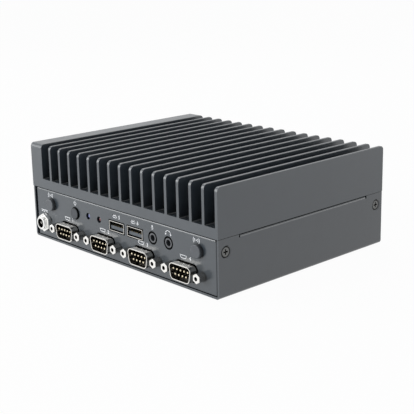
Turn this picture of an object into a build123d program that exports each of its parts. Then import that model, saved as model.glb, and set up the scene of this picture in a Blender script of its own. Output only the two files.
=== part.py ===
from build123d import *
import os

# Fanless edge computer. Millimetres, +Z up, the serial ports face -Y.
# The origin is on the floor under the middle of the whole object.

# Case, as folded sheet under a finned heatsink
case_width = 164.0
case_depth = 132.0
case_height = 31.6
foot_height = 2.0
sheet = 1.2
chassis_bend = 1.8
panel_bend = 1.3
flange_depth = 9.0
edge_setback = 0.3
panel_recess = 0.6
panel_gap = 0.35
panel_top_gap = 0.4
seam = 0.2
side_lip = 8.0
side_lip_end = 14.7
relief_width = 0.8

# Heatsink extrusion
heatsink_height = 26.8
base_thickness = 5.7
left_wall = 11.0
slot_count = 16
fin_thickness = 1.85
fin_end_radius = 2.4
tip_radius = 0.3
root_radius = 0.5

# Clearances
thread_gap = 0.05
nest_gap = 0.05
hole_gap = 0.1

# Metric fasteners
m3 = 1.5
side_head = 3.0
side_sink = 3.5
side_screw_inset = 5.6
side_screw_height = 24.2
side_screw_length = 6.0
base_head = 2.6
pan_head = 2.75
pan_head_height = 1.8
cross_length = 3.0
cross_width = 0.8
cross_depth = 1.0
thread_grip = 4.0
panel_screw_inset = 12.0
hex_across = 5.5

# Underside
foot_radius = 4.5
foot_inset = 10.5
insert_spacing = 75.0
insert_bore = 2.0
insert_radius = 3.5
insert_rise = 1.4

# Serial ports, four in a row low on the front
serial_count = 4
serial_gap = 3.6
serial_end_gap = 6.85
serial_height = 9.4
serial_width = 17.4
serial_tall = 9.0
serial_corner = 2.6
serial_slant = 80.0
serial_wall = 0.4
serial_reach = 4.9
serial_cut_gap = 0.7
serial_flange_end = 2.905
serial_flange_height = 12.5
serial_flange_thickness = 0.8
serial_block_depth = 8.0
jack_spacing = 24.99
jack_across = 4.75
jack_reach = 5.0
jack_thread = 1.42
jack_bore = 1.15
jack_socket_depth = 4.4
jack_chamfer = 0.35
pin_radius = 0.5
pin_pitch = 2.77
pin_row = 1.42
pin_setback = 0.5
pin_face = 0.4
pin_depth = 1.5
bump_ball = 0.85
bump_rise = 0.3
bump_pitch = 4.0
bump_place = 1.6
bump_count = 3

# Front row of ports above them
usb_height = 21.2
usb_first_x = -0.9
usb_pitch = 16.2
usb_size = (13.1, 5.7)
usb_wall = 0.3
usb_depth = 14.0
usb_reach = 0.2
usb_cut_gap = 0.6
usb_corner = 0.5
tongue_width = 11.0
tongue_thickness = 1.9
tongue_length = 8.5
tongue_floor_gap = 0.7
tongue_setback = 0.6

row_height = 21.6
audio_first_x = 30.3
audio_pitch = 12.9
audio_hole = 3.7
audio_nose = 3.05
audio_bore = 1.8
audio_bore_depth = 12.0
audio_body = (9.0, 13.0)

led_height = 22.2
led_first_x = -27.6
led_pitch = 10.4
led_hole = 1.9
led_lens = 1.2
led_setback = 0.8
led_length = 6.0
led_leg = 3.0

button_x = -40.0
button_hole = 3.8
button_radius = 3.5
button_reach = 1.0
button_rim = 4.5
button_rim_thickness = 1.0
button_dome = 0.45
button_travel = 0.5
plunger_radius = 1.6
plunger_length = 4.0
plunger_seat = 1.5
switch_size = (6.2, 4.5)

antenna_inset = (16.35, 14.15)
antenna_height = 22.5
antenna_hole = 3.25
plug_radius = 3.75
plug_reach = 2.4
plug_edge = 0.6
plug_shank = 3.1
plug_barb = 3.5
plug_tail = 3.2

dc_end_gap = 2.75
dc_serial_gap = 3.9
dc_height = 10.3
dc_thread = 4.0
dc_bore = 2.85
dc_reach = 4.6
dc_bore_depth = 10.0
dc_block = (11.0, 10.5)
dc_block_top = 5.5
dc_pin = 1.05
dc_pin_setback = 4.0
dc_nut_across = 10.0
dc_nut_thickness = 2.2
dc_washer_radius = 5.0
dc_washer_thickness = 0.5

# Rear ports, measured from the middle as seen from behind
network_inset = 28.45
network_pitch = 19.0
network_size = (16.0, 11.6)
network_depth = 20.0
network_wall = 0.3
network_mouth = (11.8, 6.8)
network_tab = (6.0, 2.0)
network_mouth_depth = 13.0
network_mouth_rise = 3.2
rear_port_gap = 6.5
rear_reach = 0.3
video_size = (15.2, 6.2)
video_depth = 11.0
video_tongue = (11.0, 1.4)

# Circuit boards and what stands on them
board_thickness = 1.6
board_side_gap = 8.0
board_front_gap = 2.6
board_rear_gap = 0.6
io_thickness = 1.0
io_side_gap = 5.0
io_depth = 18.6
post_inset = 13.0
post_front = 16.7
post_rear = 27.2
boss_radius = 4.0
link_size = (26.0, 4.6)
link_header_height = 6.0
link_y = 16.4
chip_y = -4.0
chip_size = (30.0, 26.0)
chip_thickness = 1.2
die_size = (14.0, 11.0)
die_thickness = 0.8
pad_thickness = 0.5
block_size = 44.0
block_screw_inset = 5.0
block_counterbore = 3.2
memory_inset = 8.8
memory_y = -4.0
memory_size = (30.0, 67.6)
memory_rise = 2.2
memory_thickness = 1.0
memory_socket = (6.5, 4.0)
memory_arm = (24.0, 2.6)
memory_chip = (9.0, 12.0, 1.0)
storage_inset = 21.8
storage_gap = 5.5
storage_size = (22.0, 42.0)
storage_rise = 2.4
storage_thickness = 0.8
storage_socket = (8.0, 4.2)
storage_chip = (14.0, 11.0, 1.2)
battery_gap = 1.5
battery_radius = 10.0
battery_thickness = 3.2
holder_size = 23.0
holder_height = 2.6

# A port's flange carries its two jack screws near its ends
serial_flange = (jack_spacing + 2 * serial_flange_end, serial_flange_height)

# Levels
under_z = foot_height
floor_z = under_z + sheet
lid_z = under_z + case_height
board_top = under_z + usb_height - usb_size[1] / 2
board_under = board_top - board_thickness
io_top = under_z + serial_height - serial_flange[1] / 2
io_under = io_top - io_thickness
die_top = board_top + chip_thickness + die_thickness
block_under = die_top + pad_thickness

# Depths. The jack screws stand out most at the front, the heatsink at the back
front_stand_out = max(jack_reach - edge_setback - panel_recess, 0)
sink_front_y = front_stand_out / 2 - case_depth / 2
sink_back_y = front_stand_out / 2 + case_depth / 2
case_y = (sink_front_y + sink_back_y) / 2
front_y = sink_front_y + edge_setback + panel_recess
rear_y = sink_back_y - edge_setback - panel_recess
front_face = Plane(origin=(0, front_y, under_z), x_dir=(1, 0, 0), z_dir=(0, -1, 0))
rear_face = Plane(origin=(0, rear_y, under_z), x_dir=(-1, 0, 0), z_dir=(0, 1, 0))

# Layout that follows from the sizes above
fin_pitch = (case_width - left_wall) / slot_count
panel_width = case_width - 2 * (sheet + panel_gap)
panel_low = sheet + panel_gap
panel_screw_x = case_width / 2 - panel_screw_inset
post_x = case_width / 2 - post_inset
board_width = case_width - 2 * (sheet + board_side_gap)
io_width = case_width - 2 * (sheet + io_side_gap)
# The low row fills the panel between its flanges, and its gaps share what the ports leave free
row_width = panel_width - 2 * sheet
row_free = row_width - dc_block[0] - serial_count * serial_flange[0]
row_spread = row_free / (dc_end_gap + dc_serial_gap + (serial_count - 1) * serial_gap + serial_end_gap)
serial_pitch = serial_flange[0] + serial_gap * row_spread
dc_x = dc_end_gap * row_spread + (dc_block[0] - row_width) / 2
serial_first_x = dc_x + dc_serial_gap * row_spread + (dc_block[0] + serial_flange[0]) / 2
serial_middle_x = serial_first_x + (serial_count - 1) / 2 * serial_pitch
serial_x = [serial_first_x + n * serial_pitch for n in range(serial_count)]
serial_points = [(x, serial_height) for x in serial_x]
jack_points = [(x + side * jack_spacing / 2, serial_height) for x in serial_x for side in (-1, 1)]
usb_points = [(usb_first_x + n * usb_pitch, usb_height) for n in range(2)]
audio_points = [(audio_first_x + n * audio_pitch, row_height) for n in range(2)]
led_points = [(led_first_x + n * led_pitch, led_height) for n in range(2)]
antenna_left_x = antenna_inset[0] - panel_width / 2
antenna_right_x = panel_width / 2 - antenna_inset[1]
antenna_points = [(x, antenna_height) for x in (antenna_left_x, antenna_right_x)]
network_height = board_top - under_z + network_size[1] / 2
network_first_x = network_inset - panel_width / 2
network_points = [(network_first_x + n * network_pitch, network_height) for n in range(2)]
rear_usb_first_x = network_points[-1][0] + (network_size[0] + usb_size[0]) / 2 + rear_port_gap
rear_usb_points = [(rear_usb_first_x + n * usb_pitch, usb_height) for n in range(2)]
video_x = rear_usb_points[-1][0] + (usb_size[0] + video_size[0]) / 2 + rear_port_gap
video_height = board_top - under_z + video_size[1] / 2
front_post_y = front_y + post_front
rear_post_y = rear_y - post_rear
side_screw_y = [sink_front_y + side_screw_inset, sink_back_y - side_screw_inset]
panel_screw_depth = flange_depth / 2 + panel_bend / 2
panel_screw_points = [
    (x, y)
    for x in (-panel_screw_x, panel_screw_x)
    for y in (front_y + panel_screw_depth, rear_y - panel_screw_depth)
]
post_points = [(x, y) for x in (-post_x, post_x) for y in (front_post_y, rear_post_y)]
insert_points = [
    (x * insert_spacing / 2, case_y + y * insert_spacing / 2)
    for x in (-1, 1)
    for y in (-1, 1)
]
memory_x = memory_inset - board_width / 2
storage_x = board_width / 2 - storage_inset
storage_back_y = rear_y + rear_reach - network_depth - storage_gap - storage_socket[0] / 2
storage_y = storage_back_y - storage_size[1] / 2
memory_end_x = memory_x + memory_socket[0] / 2 + memory_size[0]
chip_x = (memory_end_x + storage_x - storage_size[0] / 2) / 2
block_screw_spacing = block_size - 2 * block_screw_inset
battery_y = chip_y + (block_size + holder_size) / 2 + battery_gap
foot_points = [
    (x * (case_width / 2 - foot_inset), y)
    for x in (-1, 1)
    for y in (sink_front_y + foot_inset, sink_back_y - foot_inset)
]


def keep(builder, label):
    builder.part.label = label
    export_step(builder.part, f"parts/{label}.step")


def port_plane(face, point):
    # Plane on a panel's outer face with its origin at the port's middle, pointing outward
    return Plane(origin=face.from_local_coords((point[0], point[1], 0)), x_dir=face.x_dir, z_dir=face.z_dir)


def serial_outline(width, height, corner):
    # D outline of a nine-way serial port with its wide side up
    with BuildSketch() as outline:
        Trapezoid(width, height, serial_slant, rotation=180)
        fillet(outline.vertices(), corner)
    return outline.sketch


shell_outline = serial_outline(serial_width, serial_tall, serial_corner)
shell_inside = offset(shell_outline, amount=-serial_wall)
nose_outline = offset(shell_outline, amount=-serial_wall - nest_gap)
serial_cutout = offset(shell_outline, amount=serial_cut_gap)


def countersunk_screw(head, length):
    # Flat-headed screw that points down, with its head's top at the origin
    with BuildPart() as screw:
        with BuildSketch(Plane.XZ):
            with BuildLine():
                Polyline((0, 0), (head, 0), (m3, m3 - head), (m3, -length), (0, -length), close=True)
            make_face()
        revolve(axis=Axis.Z)
        with BuildSketch(Plane.XY):
            Rectangle(cross_length, cross_width)
            Rectangle(cross_width, cross_length)
        extrude(amount=-cross_depth, taper=10, mode=Mode.SUBTRACT)
    return screw.part


def pan_screw(length):
    # Pan-headed screw that points down, with the underside of its head at the origin
    with BuildPart() as screw:
        with BuildSketch(Plane.XY):
            Circle(pan_head)
        extrude(amount=pan_head_height)
        chamfer(screw.edges().group_by(Axis.Z)[-1], pan_head_height / 3)
        with BuildSketch(Plane.XY):
            Circle(m3)
        extrude(amount=-length)
    return screw.part


def make_heatsink():
    with BuildPart() as heatsink:
        with BuildSketch(Plane.XZ.offset(-sink_back_y)) as profile:
            with Locations((0, lid_z)):
                Rectangle(case_width, base_thickness, align=(Align.CENTER, Align.MIN))
            with Locations((-case_width / 2, lid_z)):
                Rectangle(left_wall, heatsink_height, align=(Align.MIN, Align.MIN))
            with Locations(*[(case_width / 2 - n * fin_pitch, lid_z) for n in range(slot_count)]):
                Rectangle(fin_thickness, heatsink_height, align=(Align.MAX, Align.MIN))
            fillet(profile.vertices().group_by(Axis.Y)[1], root_radius)
            fillet(profile.vertices().group_by(Axis.Y)[-1], tip_radius)
        extrude(amount=case_depth)
        # Side outline that rounds the front and back ends of all the fins
        with BuildSketch(Plane.YZ.offset(-case_width / 2)) as side:
            with Locations((case_y, lid_z)):
                Rectangle(case_depth, heatsink_height, align=(Align.CENTER, Align.MIN))
            fillet(side.vertices().group_by(Axis.Y)[-1], fin_end_radius)
        extrude(amount=case_width, mode=Mode.INTERSECT)
        with BuildSketch(Plane.XY.offset(lid_z)):
            with Locations(*panel_screw_points):
                Circle(m3 + thread_gap)
            with Locations((chip_x, chip_y)):
                with GridLocations(block_screw_spacing, block_screw_spacing, 2, 2):
                    Circle(m3 + thread_gap)
        extrude(amount=thread_grip + thread_gap, mode=Mode.SUBTRACT)
    keep(heatsink, "heatsink")


def make_chassis():
    back = sink_back_y - edge_setback
    depth = case_depth - 2 * edge_setback
    side_top = case_height - seam
    with BuildPart() as chassis:
        with BuildSketch(Plane.XZ.offset(-back)) as profile:
            with Locations((0, under_z)):
                outer = Rectangle(case_width, side_top, align=(Align.CENTER, Align.MIN))
            fillet(outer.vertices().group_by(Axis.Y)[0], chassis_bend)
            with BuildSketch(mode=Mode.SUBTRACT) as inside:
                with Locations((0, floor_z)):
                    Rectangle(case_width - 2 * sheet, side_top, align=(Align.CENTER, Align.MIN))
                fillet(inside.vertices().group_by(Axis.Y)[0], chassis_bend - sheet)
        extrude(amount=depth)
        # Between two bend reliefs the top of each side is bent inward, and the heatsink rests on it
        lip_length = case_depth - 2 * side_lip_end
        with BuildSketch(Plane.YZ.offset(-case_width / 2)):
            with Locations((case_y, lid_z)):
                Rectangle(lip_length, 2 * chassis_bend)
        extrude(amount=case_width, mode=Mode.SUBTRACT)
        lip_low = lid_z - chassis_bend - sheet
        with BuildSketch(Plane.XZ.offset(-case_y)):
            with Locations((0, lip_low)):
                outer = Rectangle(case_width, chassis_bend + sheet, align=(Align.CENTER, Align.MIN))
            fillet(outer.vertices().group_by(Axis.Y)[-1], chassis_bend)
            with BuildSketch(mode=Mode.SUBTRACT) as inside:
                with Locations((0, lip_low)):
                    Rectangle(case_width - 2 * sheet, chassis_bend, align=(Align.CENTER, Align.MIN))
                fillet(inside.vertices().group_by(Axis.Y)[-1], chassis_bend - sheet)
            with BuildSketch(mode=Mode.SUBTRACT):
                with Locations((0, lip_low)):
                    Rectangle(case_width - 2 * side_lip, case_height, align=(Align.CENTER, Align.MIN))
        extrude(amount=lip_length / 2 - relief_width, both=True)
        # Raised seats for the port board's two posts
        with BuildSketch(Plane.XY.offset(floor_z)):
            with Locations((-post_x, front_post_y), (post_x, front_post_y)):
                Circle(boss_radius)
        extrude(amount=io_under - floor_z)
        for side in (-1, 1):
            for y in side_screw_y:
                spot = Plane(
                    origin=(side * case_width / 2, y, under_z + side_screw_height),
                    x_dir=(0, 1, 0),
                    z_dir=(side, 0, 0),
                )
                with Locations(spot):
                    CounterSinkHole(m3 + hole_gap, side_sink, depth=2 * sheet, counter_sink_angle=90)
        for point in post_points:
            with Locations(Plane(origin=(*point, under_z), z_dir=(0, 0, -1))):
                CounterSinkHole(m3 + hole_gap, base_head + hole_gap, depth=3 * sheet, counter_sink_angle=90)
        with BuildSketch(Plane.XY.offset(under_z)):
            with Locations(*insert_points):
                Circle(insert_radius - sheet / 2)
        extrude(amount=sheet, mode=Mode.SUBTRACT)
    keep(chassis, "chassis")


def panel_pan(face):
    # Panel sheet with a flange bent back along each side and along the top
    plan = Plane(origin=face.from_local_coords((0, panel_low, 0)), x_dir=face.x_dir, z_dir=face.y_dir)
    section = Plane(origin=face.origin, x_dir=-face.z_dir, z_dir=face.x_dir)
    lip_top = case_height - panel_top_gap
    plate_top = lip_top - panel_bend
    with BuildPart() as pan:
        with BuildSketch(plan) as channel:
            outer = Rectangle(panel_width, flange_depth, align=(Align.CENTER, Align.MIN))
            fillet(outer.vertices().group_by(Axis.Y)[0], panel_bend)
            with BuildSketch(mode=Mode.SUBTRACT) as inside:
                with Locations((0, sheet)):
                    Rectangle(panel_width - 2 * sheet, flange_depth, align=(Align.CENTER, Align.MIN))
                fillet(inside.vertices().group_by(Axis.Y)[0], panel_bend - sheet)
        extrude(amount=plate_top - panel_low)
        with BuildSketch(section) as lip:
            with Locations((0, plate_top - sheet)):
                outer = Rectangle(flange_depth, panel_bend + sheet, align=(Align.MIN, Align.MIN))
            fillet(outer.vertices().group_by(Axis.X)[0].sort_by(Axis.Y)[-1], panel_bend)
            with BuildSketch(mode=Mode.SUBTRACT) as inside:
                with Locations((sheet, plate_top - sheet)):
                    inner = Rectangle(flange_depth, panel_bend, align=(Align.MIN, Align.MIN))
                fillet(inner.vertices().group_by(Axis.X)[0].sort_by(Axis.Y)[-1], panel_bend - sheet)
        extrude(amount=panel_width / 2 - panel_bend, both=True)
        # Tapped holes in the side flanges and plain holes in the top one
        screw_depth = side_screw_inset - edge_setback - panel_recess
        for side in (-1, 1):
            spot = face.from_local_coords((side * panel_width / 2, side_screw_height, -screw_depth))
            with Locations(Plane(origin=spot, x_dir=(0, 1, 0), z_dir=face.x_dir * side)):
                CounterSinkHole(m3 + thread_gap, m3 + sheet / 2, depth=2 * sheet, counter_sink_angle=90)
        top = Plane(origin=face.from_local_coords((0, lip_top, 0)), x_dir=face.x_dir, z_dir=face.y_dir)
        with BuildSketch(top):
            with Locations((-panel_screw_x, panel_screw_depth), (panel_screw_x, panel_screw_depth)):
                Circle(m3 + hole_gap)
        extrude(amount=-sheet, mode=Mode.SUBTRACT)
    return pan.part


def make_front_panel():
    with BuildPart() as front_panel:
        add(panel_pan(front_face))
        with BuildSketch(front_face):
            with Locations(*serial_points):
                add(serial_cutout)
            with Locations(*jack_points):
                Circle(jack_thread + hole_gap)
            with Locations(*usb_points):
                Rectangle(usb_size[0] + 2 * usb_cut_gap, usb_size[1] + 2 * usb_cut_gap)
            with Locations(*audio_points):
                Circle(audio_hole)
            with Locations(*led_points):
                Circle(led_hole)
            with Locations(*antenna_points):
                Circle(antenna_hole)
            with Locations((button_x, row_height)):
                Circle(button_hole)
            with Locations((dc_x, dc_height)):
                Circle(dc_thread + hole_gap)
        extrude(amount=-sheet, mode=Mode.SUBTRACT)
    keep(front_panel, "front_panel")


def make_rear_panel():
    with BuildPart() as rear_panel:
        add(panel_pan(rear_face))
        with BuildSketch(rear_face):
            with Locations(*network_points):
                Rectangle(network_size[0] + 2 * hole_gap, network_size[1] + 2 * hole_gap)
            with Locations(*rear_usb_points):
                Rectangle(usb_size[0] + 2 * usb_cut_gap, usb_size[1] + 2 * usb_cut_gap)
            with Locations((video_x, video_height)):
                Rectangle(video_size[0] + 2 * usb_cut_gap, video_size[1] + 2 * usb_cut_gap)
        extrude(amount=-sheet, mode=Mode.SUBTRACT)
    keep(rear_panel, "rear_panel")


def make_rubber_feet():
    with BuildPart() as rubber_feet:
        with BuildSketch(Plane.XY.offset(under_z)):
            with Locations(*foot_points):
                Circle(foot_radius)
        extrude(amount=-foot_height, taper=8)
    keep(rubber_feet, "rubber_feet")


def make_base_inserts():
    # Flanged nuts pressed into the floor from inside
    with BuildPart() as base_inserts:
        with BuildSketch(Plane.XY.offset(floor_z)):
            with Locations(*insert_points):
                Circle(insert_radius)
        extrude(amount=insert_rise)
        with BuildSketch(Plane.XY.offset(floor_z)):
            with Locations(*insert_points):
                Circle(insert_radius - sheet / 2 - nest_gap)
        extrude(amount=-sheet)
        with BuildSketch(Plane.XY.offset(under_z)):
            with Locations(*insert_points):
                Circle(insert_bore)
        extrude(amount=sheet + insert_rise, mode=Mode.SUBTRACT)
    keep(base_inserts, "base_inserts")


def make_side_screws():
    # Each head sits where the countersink is as wide as the head
    head_x = case_width / 2 - (side_sink - side_head) + nest_gap
    screw = countersunk_screw(side_head, side_screw_length)
    spots = [
        Plane(origin=(side * head_x, y, under_z + side_screw_height), x_dir=(0, 1, 0), z_dir=(side, 0, 0))
        for side in (-1, 1)
        for y in side_screw_y
    ]
    with BuildPart() as side_screws:
        with Locations(*spots):
            add(screw)
    keep(side_screws, "side_screws")


def make_panel_screws():
    # They hold each panel's top flange to the heatsink from inside
    head_z = lid_z - panel_top_gap - sheet
    spots = [Plane(origin=(*point, head_z), z_dir=(0, 0, -1)) for point in panel_screw_points]
    screw = pan_screw(lid_z - head_z + thread_grip)
    with BuildPart() as panel_screws:
        with Locations(*spots):
            add(screw)
    keep(panel_screws, "panel_screws")


def make_base_screws():
    # Flush screws through the floor into the four board posts
    rise = {front_post_y: io_top - under_z, rear_post_y: sheet}
    with BuildPart() as base_screws:
        for x, y in post_points:
            screw = countersunk_screw(base_head, rise[y] + thread_grip)
            with Locations(Plane(origin=(x, y, under_z), z_dir=(0, 0, -1))):
                add(screw)
    keep(base_screws, "base_screws")


def make_board_posts():
    with BuildPart() as board_posts:
        for x, y in post_points:
            foot = io_top if y == front_post_y else floor_z
            with BuildSketch(Plane.XY.offset(foot)):
                with Locations((x, y)):
                    RegularPolygon(hex_across / 2, 6, major_radius=False)
                    Circle(m3 + thread_gap, mode=Mode.SUBTRACT)
            extrude(amount=board_under - foot)
    keep(board_posts, "board_posts")


def make_board_screws():
    screw = pan_screw(board_thickness + thread_grip)
    with BuildPart() as board_screws:
        with Locations(*[(x, y, board_top) for x, y in post_points]):
            add(screw)
    keep(board_screws, "board_screws")


def make_main_board():
    board_front = front_y + sheet + board_front_gap
    board_back = rear_y - sheet - board_rear_gap
    with BuildPart() as main_board:
        with BuildSketch(Plane.XY.offset(board_under)):
            with Locations((0, (board_front + board_back) / 2)):
                Rectangle(board_width, board_back - board_front)
            with Locations(*post_points):
                Circle(m3 + hole_gap, mode=Mode.SUBTRACT)
        extrude(amount=board_thickness)
    keep(main_board, "main_board")


def make_io_board():
    with BuildPart() as io_board:
        with BuildSketch(Plane.XY.offset(io_under)):
            with Locations((0, front_y + sheet + serial_flange_thickness + nest_gap)):
                Rectangle(io_width, io_depth, align=(Align.CENTER, Align.MIN))
            with Locations((-post_x, front_post_y), (post_x, front_post_y)):
                Circle(m3 + hole_gap, mode=Mode.SUBTRACT)
            # Room for the base inserts where the board reaches over them
            with Locations(*insert_points):
                Circle(insert_radius + hole_gap, mode=Mode.SUBTRACT)
        extrude(amount=io_thickness)
    keep(io_board, "io_board")


def make_board_link():
    # Plug on the port board and socket under the main board
    middle = (serial_middle_x, front_y + link_y)
    with BuildPart() as link_header:
        with BuildSketch(Plane.XY.offset(io_top)):
            with Locations(middle):
                Rectangle(*link_size)
        extrude(amount=link_header_height)
    keep(link_header, "link_header")
    with BuildPart() as link_socket:
        with BuildSketch(Plane.XY.offset(io_top + link_header_height)):
            with Locations(middle):
                Rectangle(*link_size)
        extrude(amount=board_under - io_top - link_header_height)
    keep(link_socket, "link_socket")


def make_processor():
    with BuildPart() as processor:
        with BuildSketch(Plane.XY.offset(board_top)):
            with Locations((chip_x, chip_y)):
                Rectangle(*chip_size)
        extrude(amount=chip_thickness)
        with BuildSketch(Plane.XY.offset(board_top + chip_thickness)):
            with Locations((chip_x, chip_y)):
                Rectangle(*die_size)
        extrude(amount=die_thickness)
    keep(processor, "processor")
    with BuildPart() as thermal_pad:
        with BuildSketch(Plane.XY.offset(die_top)):
            with Locations((chip_x, chip_y)):
                Rectangle(*die_size)
        extrude(amount=pad_thickness)
    keep(thermal_pad, "thermal_pad")


def make_heat_block():
    # Solid block that carries the processor's heat up to the heatsink
    head_room = pan_head_height + block_counterbore
    with BuildPart() as heat_block:
        with BuildSketch(Plane.XY.offset(block_under)):
            with Locations((chip_x, chip_y)):
                Rectangle(block_size, block_size)
        extrude(amount=lid_z - block_under)
        chamfer(heat_block.edges().filter_by(Axis.Z), 1.0)
        with Locations(Plane(origin=(chip_x, chip_y, block_under), z_dir=(0, 0, -1))):
            with GridLocations(block_screw_spacing, block_screw_spacing, 2, 2):
                CounterBoreHole(m3 + hole_gap, pan_head + hole_gap, head_room)
    keep(heat_block, "heat_block")
    screw = pan_screw(lid_z - block_under - head_room + thread_grip)
    with BuildPart() as block_screws:
        with Locations(Plane(origin=(chip_x, chip_y, block_under + head_room), z_dir=(0, 0, -1))):
            with GridLocations(block_screw_spacing, block_screw_spacing, 2, 2):
                add(screw)
    keep(block_screws, "block_screws")


def make_memory():
    slot_z = board_top + memory_rise
    arm_length, arm_width = memory_arm
    socket_depth, socket_height = memory_socket
    inner_length = memory_size[1] + 2 * nest_gap
    with BuildPart() as memory_socket_part:
        with BuildSketch(Plane.XY.offset(board_top)):
            with Locations((memory_x, memory_y)):
                Rectangle(socket_depth, inner_length + 2 * arm_width, align=(Align.MIN, Align.CENTER))
            arm_spots = [(memory_x, memory_y + side * (inner_length + arm_width) / 2) for side in (-1, 1)]
            with Locations(*arm_spots):
                Rectangle(arm_length, arm_width, align=(Align.MIN, Align.CENTER))
        extrude(amount=socket_height)
        with BuildSketch(Plane.XY.offset(slot_z - nest_gap)):
            with Locations((memory_x + socket_depth / 2, memory_y)):
                Rectangle(socket_depth, inner_length, align=(Align.MIN, Align.CENTER))
        extrude(amount=memory_thickness + 2 * nest_gap, mode=Mode.SUBTRACT)
    keep(memory_socket_part, "memory_socket")
    chip_width, chip_length, chip_rise = memory_chip
    chip_middle = memory_x + (socket_depth + memory_size[0]) / 2 + chip_width / 2
    with BuildPart() as memory_module:
        with BuildSketch(Plane.XY.offset(slot_z)):
            with Locations((memory_x + socket_depth / 2 + nest_gap, memory_y)):
                Rectangle(*memory_size, align=(Align.MIN, Align.CENTER))
        extrude(amount=memory_thickness)
        with BuildSketch(Plane.XY.offset(slot_z + memory_thickness)):
            with Locations((chip_middle, memory_y)):
                with GridLocations(chip_width, memory_size[1] / 4, 1, 4):
                    Rectangle(chip_width, chip_length)
        extrude(amount=chip_rise)
    keep(memory_module, "memory_module")


def make_storage():
    slot_z = board_top + storage_rise
    width, length = storage_size
    socket_depth, socket_height = storage_socket
    with BuildPart() as storage_socket_part:
        with BuildSketch(Plane.XY.offset(board_top)):
            with Locations((storage_x, storage_back_y)):
                Rectangle(width + 2 * sheet, socket_depth)
        extrude(amount=socket_height)
        with BuildSketch(Plane.XY.offset(slot_z - nest_gap)):
            with Locations((storage_x, storage_back_y)):
                Rectangle(width + 2 * nest_gap, socket_depth / 2 + nest_gap, align=(Align.CENTER, Align.MAX))
        extrude(amount=storage_thickness + 2 * nest_gap, mode=Mode.SUBTRACT)
    keep(storage_socket_part, "storage_socket")
    chip_width, chip_length, chip_rise = storage_chip
    with BuildPart() as storage_module:
        with BuildSketch(Plane.XY.offset(slot_z)):
            with Locations((storage_x, storage_y)):
                Rectangle(width, length)
        extrude(amount=storage_thickness)
        with BuildSketch(Plane.XY.offset(slot_z + storage_thickness)):
            with Locations((storage_x, storage_y)):
                with GridLocations(width, length / 3, 1, 2):
                    Rectangle(chip_width, chip_length)
        extrude(amount=chip_rise)
    keep(storage_module, "storage_module")
    # Post that carries the module's free end
    with BuildPart() as storage_post:
        with BuildSketch(Plane.XY.offset(board_top)):
            with Locations((storage_x, storage_y - length / 2 + m3)):
                Circle(pan_head)
        extrude(amount=storage_rise)
    keep(storage_post, "storage_post")


def make_clock_battery():
    seat_z = board_top + holder_height / 3
    with BuildPart() as battery_holder:
        with BuildSketch(Plane.XY.offset(board_top)):
            with Locations((chip_x, battery_y)):
                RectangleRounded(holder_size, holder_size, holder_size / 6)
        extrude(amount=holder_height)
        with BuildSketch(Plane.XY.offset(seat_z)):
            with Locations((chip_x, battery_y)):
                Circle(battery_radius + nest_gap)
        extrude(amount=holder_height, mode=Mode.SUBTRACT)
    keep(battery_holder, "battery_holder")
    with BuildPart() as clock_battery:
        with BuildSketch(Plane.XY.offset(seat_z)):
            with Locations((chip_x, battery_y)):
                Circle(battery_radius)
        extrude(amount=battery_thickness)
    keep(clock_battery, "clock_battery")


def make_serial_shell(port, number):
    # Drawn D-shaped shell on its mounting flange behind the panel
    with BuildPart() as serial_shell:
        with BuildSketch(port.offset(-sheet)):
            RectangleRounded(*serial_flange, jack_thread)
            with GridLocations(jack_spacing, 0, 2, 1):
                Circle(jack_thread + hole_gap, mode=Mode.SUBTRACT)
        extrude(amount=-serial_flange_thickness)
        with BuildSketch(port.offset(-sheet)):
            add(shell_outline)
        extrude(amount=sheet + serial_reach)
        # Row of small grip bumps pressed out of the top
        crown_spot = port.from_local_coords((0, serial_tall / 2, bump_place))
        crown = Plane(origin=crown_spot, x_dir=port.x_dir, z_dir=port.y_dir)
        with Locations(crown.offset(bump_rise - bump_ball)):
            with GridLocations(bump_pitch, 0, bump_count, 1):
                Sphere(bump_ball)
        with BuildSketch(port.offset(serial_reach)):
            add(shell_inside)
        extrude(amount=-serial_reach - sheet - serial_flange_thickness, mode=Mode.SUBTRACT)
    keep(serial_shell, f"serial_shell_{number}")


def make_serial_insulator(port, number):
    # Moulded body behind the flange, with the nose that carries the pins inside the shell
    back = port.offset(-sheet - serial_flange_thickness)
    with BuildPart() as serial_insulator:
        with BuildSketch(back):
            Rectangle(*serial_flange)
        extrude(amount=-serial_block_depth)
        with BuildSketch(back):
            add(nose_outline)
        extrude(amount=serial_flange_thickness + pin_face)
        with BuildSketch(back):
            with GridLocations(jack_spacing, 0, 2, 1):
                Circle(jack_thread + thread_gap)
        extrude(amount=-thread_grip - thread_gap, mode=Mode.SUBTRACT)
        with BuildSketch(port.offset(-sheet + pin_face)):
            with Locations((0, pin_row)):
                with GridLocations(pin_pitch, 0, 5, 1):
                    Circle(pin_radius + thread_gap)
            with Locations((0, -pin_row)):
                with GridLocations(pin_pitch, 0, 4, 1):
                    Circle(pin_radius + thread_gap)
        extrude(amount=-pin_depth, mode=Mode.SUBTRACT)
    keep(serial_insulator, f"serial_insulator_{number}")


def make_serial_pins():
    # Five pins over four in every port
    root = front_face.offset(-sheet + pin_face - pin_depth)
    length = serial_reach - pin_setback + sheet - pin_face + pin_depth
    with BuildPart() as serial_pins:
        with BuildSketch(root):
            with Locations(*[(x, z + pin_row) for x, z in serial_points]):
                with GridLocations(pin_pitch, 0, 5, 1):
                    Circle(pin_radius)
            with Locations(*[(x, z - pin_row) for x, z in serial_points]):
                with GridLocations(pin_pitch, 0, 4, 1):
                    Circle(pin_radius)
        extrude(amount=length)
        chamfer(serial_pins.edges().filter_by(GeomType.CIRCLE).group_by(Axis.Y)[0], pin_radius / 2)
    keep(serial_pins, "serial_pins")


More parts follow.
